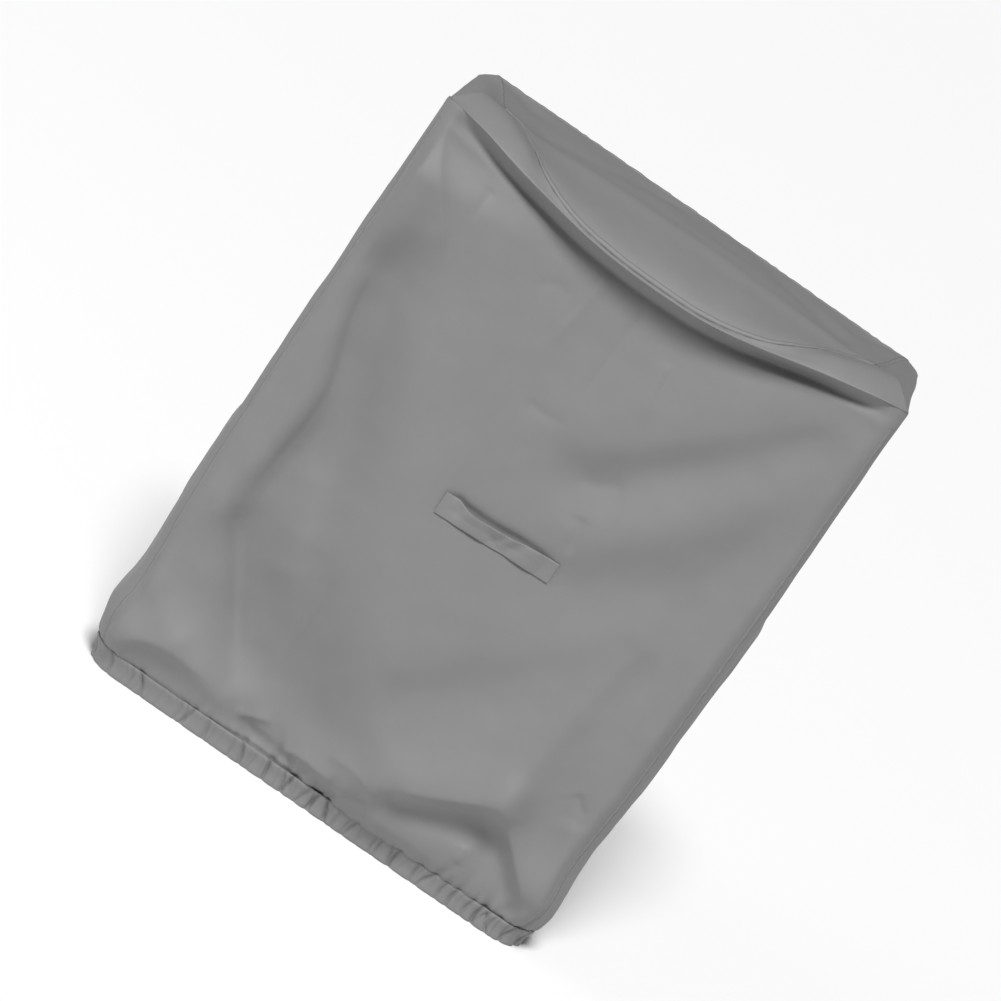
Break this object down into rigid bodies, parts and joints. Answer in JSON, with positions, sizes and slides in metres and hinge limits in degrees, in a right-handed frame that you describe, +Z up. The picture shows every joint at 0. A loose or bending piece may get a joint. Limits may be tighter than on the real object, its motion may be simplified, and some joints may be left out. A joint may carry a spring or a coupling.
{
  "type": "log splitter cover",
  "caption": "Fitted box cover of grey coated woven polyester for a tall machine, with a gathered elastic hem and a webbing handle.",
  "frame": {"origin": "under the middle of the cover's box, at the bottom of the hem", "axes": "+Z up from the hem to the roof, -Y towards the front panel with the handle, +X towards the right as seen from the front"},
  "size_m": [0.8278, 0.4165, 1.041],
  "materials": {
    "cloth": "matt",
    "webbing": "matt"
  },
  "bodies": {
    "root": {"front_panel": "cloth", "back_panel": "cloth", "side_left": "cloth", "side_right": "cloth", "top_panel": "cloth", "handle": "webbing"}
  },
  "joints": []
}
